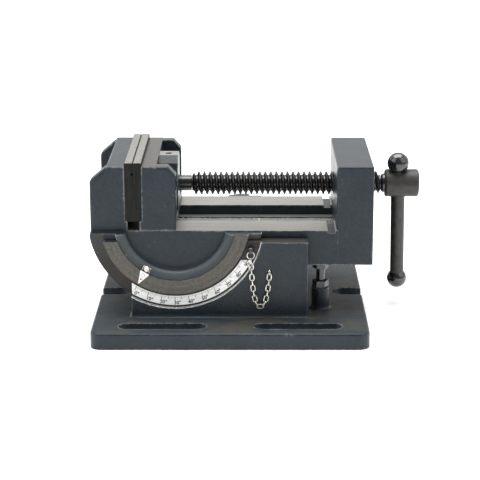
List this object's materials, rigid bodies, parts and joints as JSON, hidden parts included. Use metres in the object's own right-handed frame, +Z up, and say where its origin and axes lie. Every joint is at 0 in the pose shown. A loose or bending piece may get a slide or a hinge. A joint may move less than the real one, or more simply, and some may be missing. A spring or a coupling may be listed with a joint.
{
  "type": "tilting machine vise",
  "caption": "Cradle-based bench and drill-press vise whose body tilts from 0 to 90 degrees, with sliding jaw, lead screw and tommy bar.",
  "frame": {"origin": "centre of the base plate's underside", "axes": "+X along the lead screw towards the handle, +Y to the rear, +Z up"},
  "size_m": [0.2332, 0.2, 0.1192],
  "materials": {
    "cast_paint": "slate grey machine enamel on cast iron, machined faces left bare",
    "jaw_steel": "ground top, blackened sides",
    "black_oxide": "oiled black oxide",
    "dark_steel": "dull dark oxide",
    "black_gloss": "polished black",
    "bare_steel": "ground",
    "scale_enamel": "satin white enamel",
    "nickel": "dull nickel plate"
  },
  "bodies": {
    "cradle": {"base": "cast_paint", "angle_scale": "scale_enamel", "stop_lock_nut": "black_oxide", "chain_eye": "nickel", "retaining_chain": "nickel"},
    "vise": {"vise_body": "cast_paint", "fixed_jaw_plate": "jaw_steel", "fixed_plate_screws": "black_oxide", "angle_pointer": "scale_enamel", "pointer_screw": "nickel"},
    "sliding_jaw": {"moving_jaw": "cast_paint", "moving_jaw_plate": "jaw_steel", "moving_plate_screws": "black_oxide", "jaw_keeper_plate": "bare_steel", "keeper_screws": "black_oxide", "jaw_retaining_screw": "black_oxide"},
    "spindle": {"lead_screw": "black_oxide", "spindle_head": "dark_steel"},
    "handle": {"handle_bar": "dark_steel", "handle_knob_top": "black_gloss", "handle_knob_bottom": "black_gloss"},
    "stop": {"stop_screw": "black_oxide"},
    "lock": {"tilt_lock_bolt": "black_oxide"},
    "index": {"index_pin": "bare_steel", "pin_ring": "nickel"}
  },
  "joints": [
    {"name": "tilt", "type": "hinge", "parent": "cradle", "child": "vise", "pos_m": [-0.0383, 0, 0.0796], "axis": [0, -1, 0], "range_deg": [0, 90]},
    {"name": "jaw_slide", "type": "slide", "parent": "vise", "child": "sliding_jaw", "axis": [1, 0, 0], "range_m": [0, 0.105]},
    {"name": "screw_turn", "type": "hinge", "parent": "sliding_jaw", "child": "spindle", "pos_m": [-0.0383, 0, 0.0934], "axis": [1, 0, 0], "range_deg": [0, 9450]},
    {"name": "bar_slide", "type": "slide", "parent": "spindle", "child": "handle", "axis": [-0.0209, -0.1391, 0.9901], "range_m": [0, 0.0592]},
    {"name": "stop_travel", "type": "slide", "parent": "cradle", "child": "stop", "axis": [0, 0, 1], "range_m": [-0.004, 0]},
    {"name": "lock_travel", "type": "slide", "parent": "cradle", "child": "lock", "axis": [0, 1, 0], "range_m": [0, 0.002]},
    {"name": "pin_pull", "type": "slide", "parent": "cradle", "child": "index", "axis": [0, -1, 0], "range_m": [-0.006, 0.018], "deforming": ["retaining_chain"]}
  ],
  "couplings": [
    {"joint": "jaw_slide", "follows": "screw_turn", "m_per_rad": 0.00063662}
  ]
}
